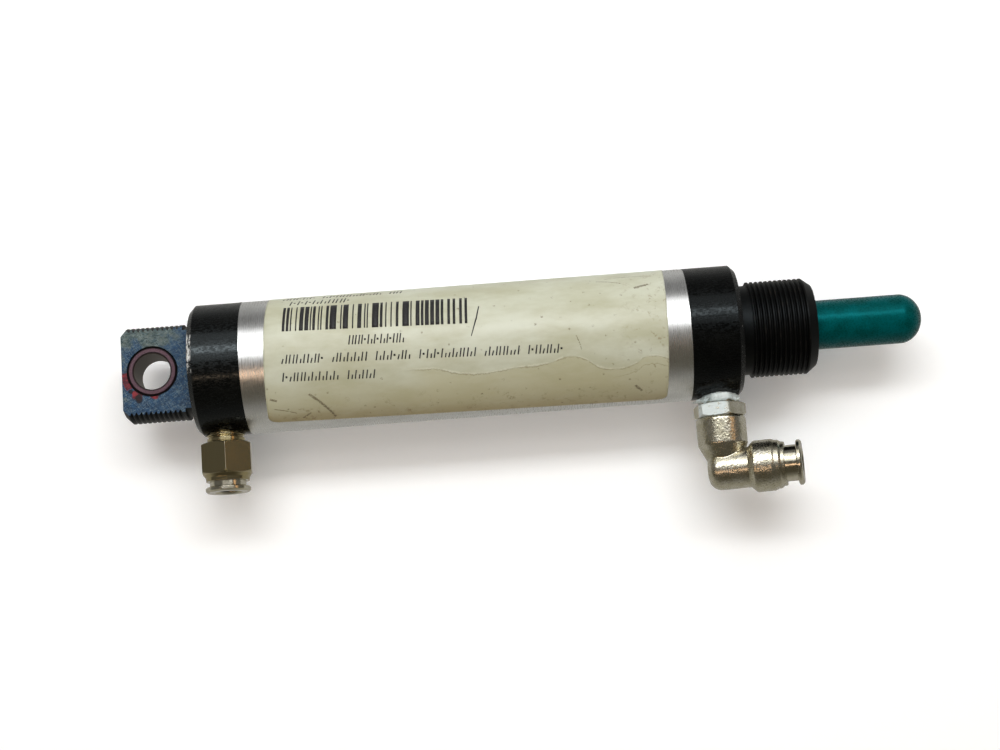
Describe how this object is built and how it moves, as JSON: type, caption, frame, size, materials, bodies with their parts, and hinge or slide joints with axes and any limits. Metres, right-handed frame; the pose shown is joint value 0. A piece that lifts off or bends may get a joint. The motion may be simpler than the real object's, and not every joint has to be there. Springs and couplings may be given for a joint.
{
  "type": "pneumatic cylinder",
  "caption": "Round double-acting air cylinder with a rear pivot tang, threaded nose, capped rod, one straight and one elbow push-in air fitting.",
  "frame": {"origin": "centre of the rear pivot bore, on the cylinder's axis", "axes": "+X along the cylinder towards the rod's end, +Z along the pivot bore, the ports face -Y"},
  "size_m": [0.2105, 0.0608, 0.0351],
  "materials": {
    "black_anodised": "black anodised, satin",
    "bushing_brown": "dark oil-filled bronze",
    "tube_aluminium": "drawn, satin",
    "bearing_bronze": "sintered bronze",
    "seal_rubber": "black nitrile",
    "wiper_urethane": "dark urethane",
    "label_paper": "aged cream paper",
    "nickel_plate": "nickel-plated brass",
    "nickel_cast": "nickel-plated, cast texture",
    "spring_stainless": "stainless",
    "ptfe_tape": "thin white tape",
    "rod_steel": "ground and polished",
    "piston_aluminium": "turned",
    "wear_ring_plastic": "acetal",
    "nut_steel": "zinc-plated steel",
    "cap_vinyl": "soft green vinyl"
  },
  "bodies": {
    "barrel": {"rear_head": "black_anodised", "pivot_bushing": "bushing_brown", "barrel_tube": "tube_aluminium", "front_head": "black_anodised", "rear_head_oring": "seal_rubber", "front_head_oring": "seal_rubber", "rod_seal": "seal_rubber", "rod_bearing": "bearing_bronze", "rod_wiper": "wiper_urethane", "label": "label_paper", "straight_fitting_body": "nickel_plate", "straight_fitting_oring": "seal_rubber", "straight_fitting_gripper": "spring_stainless", "straight_fitting_sleeve": "nickel_plate", "elbow_stud": "nickel_plate", "elbow_swivel_oring": "seal_rubber", "elbow_swivel_clip": "spring_stainless", "thread_seal_tape": "ptfe_tape"},
    "straight_release": {"straight_fitting_collet": "nickel_plate"},
    "elbow": {"elbow_body": "nickel_cast", "elbow_oring": "seal_rubber", "elbow_gripper": "spring_stainless", "elbow_sleeve": "nickel_plate"},
    "elbow_release": {"elbow_collet": "nickel_plate"},
    "piston_seals": {"piston_seal_rear": "seal_rubber", "piston_seal_front": "seal_rubber", "piston_wear_ring": "wear_ring_plastic"},
    "rod": {"piston_rod": "rod_steel", "piston": "piston_aluminium", "piston_nut": "nut_steel", "piston_oring": "seal_rubber"},
    "cap": {"rod_cap": "cap_vinyl"}
  },
  "joints": [
    {"name": "rod_slide", "type": "slide", "parent": "barrel", "child": "piston_seals", "axis": [1, 0, 0], "range_m": [0, 0.0762]},
    {"name": "rod_turn", "type": "hinge", "parent": "piston_seals", "child": "rod", "pos_m": [0.04, 0, 0], "axis": [1, 0, 0], "continuous": true},
    {"name": "cap_pull", "type": "slide", "parent": "rod", "child": "cap", "axis": [1, 0, 0], "range_m": [0, 0.032]},
    {"name": "elbow_swivel", "type": "hinge", "parent": "barrel", "child": "elbow", "pos_m": [0.1474, 0, 0], "axis": [0, -1, 0], "continuous": true},
    {"name": "straight_collet_press", "type": "slide", "parent": "barrel", "child": "straight_release", "axis": [0, 1, 0], "range_m": [-0.0015, 0.0012]},
    {"name": "elbow_collet_press", "type": "slide", "parent": "elbow", "child": "elbow_release", "axis": [-0.9763, 0, -0.2164], "range_m": [0, 0.0027]}
  ]
}
